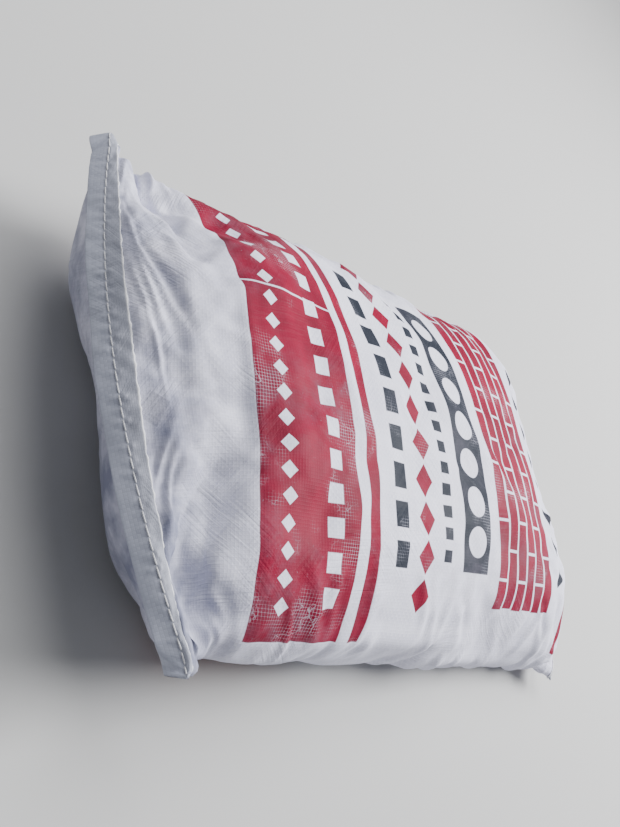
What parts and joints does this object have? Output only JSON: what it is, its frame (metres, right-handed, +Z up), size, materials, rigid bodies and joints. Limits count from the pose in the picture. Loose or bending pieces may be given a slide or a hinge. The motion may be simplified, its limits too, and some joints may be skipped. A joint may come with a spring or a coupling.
{
  "type": "cement bag",
  "caption": "Filled woven cement bag lying flat, both ends folded over and closed with a chain-stitched hem.",
  "frame": {"origin": "on the floor under the middle of the bag's box", "axes": "+X along the bag towards its mouth, +Y across it, +Z up out of its upper face"},
  "size_m": [0.5726, 0.4124, 0.1433],
  "materials": {
    "woven_sack": "white laminated woven plastic tape with crimson and dark printing",
    "closing_thread": "matt white twisted sewing thread"
  },
  "bodies": {
    "root": {"sack": "woven_sack", "bottom_stitching": "closing_thread", "mouth_stitching": "closing_thread"}
  },
  "joints": []
}
